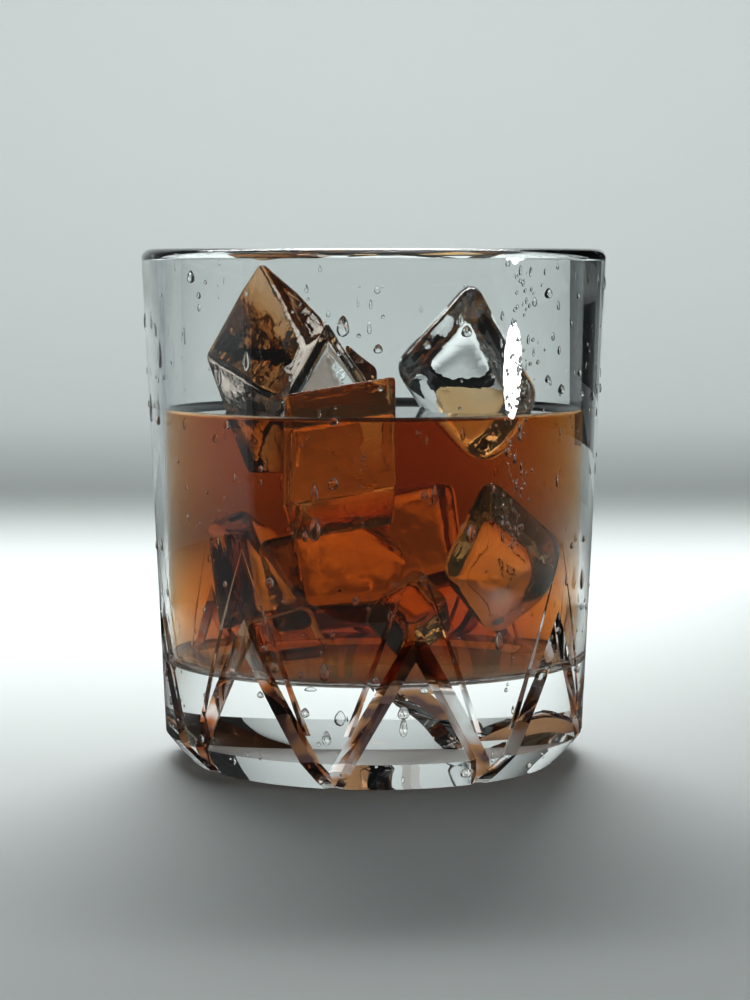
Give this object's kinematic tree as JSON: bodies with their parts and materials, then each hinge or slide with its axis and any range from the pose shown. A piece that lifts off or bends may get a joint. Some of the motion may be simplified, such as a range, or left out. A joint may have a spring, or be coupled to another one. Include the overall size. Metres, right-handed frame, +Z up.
{
  "type": "whisky on the rocks",
  "caption": "Heavy cut-glass tumbler of amber whisky with ice cubes standing out of it.",
  "frame": {"origin": "centre of the tumbler's underside, on the surface it stands on", "axes": "+Z up along the tumbler's axis, -Y towards the front seen in the picture, +X to the right in it"},
  "size_m": [0.0838, 0.0838, 0.0925],
  "materials": {
    "clear_glass": "polished clear crystal, mitre cut in the base",
    "whisky_amber": "clear amber liquid",
    "ice": "wet clear ice"
  },
  "bodies": {
    "root": {"tumbler": "clear_glass", "whisky": "whisky_amber", "ice_left": "ice", "ice_right": "ice", "ice_front": "ice", "ice_small": "ice", "ice_back": "ice"}
  },
  "joints": []
}
